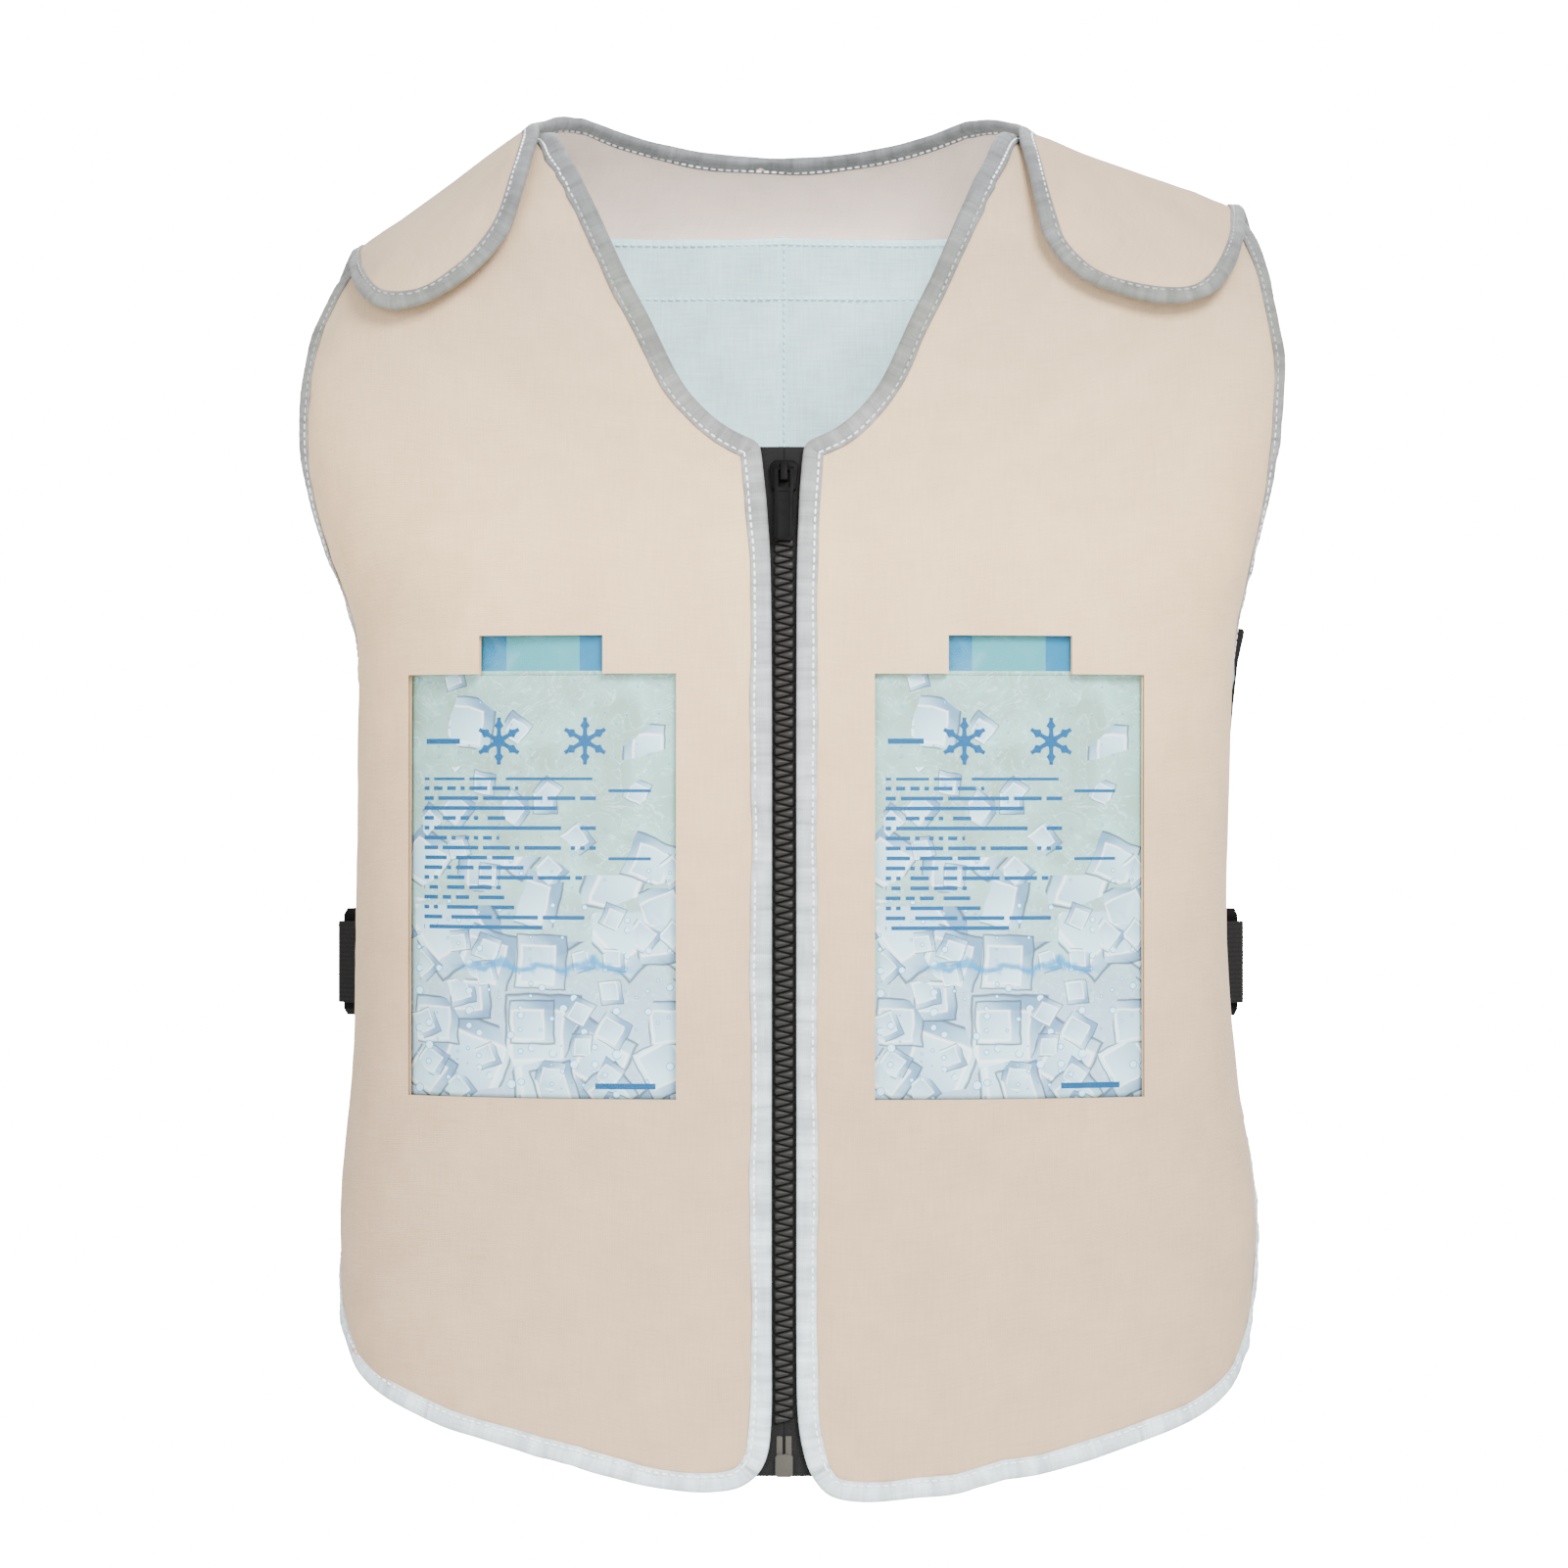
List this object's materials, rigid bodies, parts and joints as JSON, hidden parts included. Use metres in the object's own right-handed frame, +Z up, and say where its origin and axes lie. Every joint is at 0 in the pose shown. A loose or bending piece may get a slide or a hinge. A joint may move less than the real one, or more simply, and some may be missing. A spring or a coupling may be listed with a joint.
{
  "type": "cooling vest",
  "caption": "Zip-fronted cloth vest held in its worn shape, with shoulder flaps, bound edges, buckled side straps and ice packs in pockets inside the fronts.",
  "frame": {"origin": "midway between the shoulders, on the line where they carry the vest", "axes": "+Z up, -Y out of the front, +X towards the wearer's left"},
  "size_m": [0.4509, 0.237, 0.6277],
  "materials": {
    "cloth": "matt beige woven cloth",
    "binding_tape": "pale grey tape with a slight sheen",
    "pocket_cloth": "pale blue-grey lightweight cloth",
    "black_plastic": "satin black moulded plastic",
    "black_webbing": "black woven webbing",
    "pack_film": "pale blue-grey plastic film round a soft filling"
  },
  "bodies": {
    "vest": {"back_panel": "cloth", "back_neck_binding": "binding_tape", "back_edge_binding": "binding_tape", "back_pocket": "pocket_cloth", "front_left": "cloth", "front_left_binding": "binding_tape", "shoulder_flap_left": "cloth", "shoulder_flap_left_binding": "binding_tape", "zip_tape_left": "black_webbing", "zip_teeth_left": "black_plastic", "front_pocket_left": "pocket_cloth", "ice_pack_left": "pack_film", "upper_side_strap_left": "black_webbing", "buckle_strap_front_left": "black_webbing", "buckle_strap_back_left": "black_webbing", "buckle_plug_left": "black_plastic", "buckle_socket_left": "black_plastic", "front_right": "cloth", "front_right_binding": "binding_tape", "shoulder_flap_right": "cloth", "shoulder_flap_right_binding": "binding_tape", "zip_tape_right": "black_webbing", "zip_teeth_right": "black_plastic", "front_pocket_right": "pocket_cloth", "ice_pack_right": "pack_film", "upper_side_strap_right": "black_webbing", "buckle_strap_front_right": "black_webbing", "buckle_strap_back_right": "black_webbing", "buckle_plug_right": "black_plastic", "buckle_socket_right": "black_plastic", "zip_slider": "black_plastic", "zip_box": "black_plastic", "zip_pin": "black_plastic"},
    "pull_tab": {"zip_pull": "black_plastic"}
  },
  "joints": [
    {"name": "pull_tab_swing", "type": "hinge", "parent": "vest", "child": "pull_tab", "pos_m": [0, -0.10885, -0.16555], "axis": [-1, 0, 0], "range_deg": [0, 165]}
  ]
}
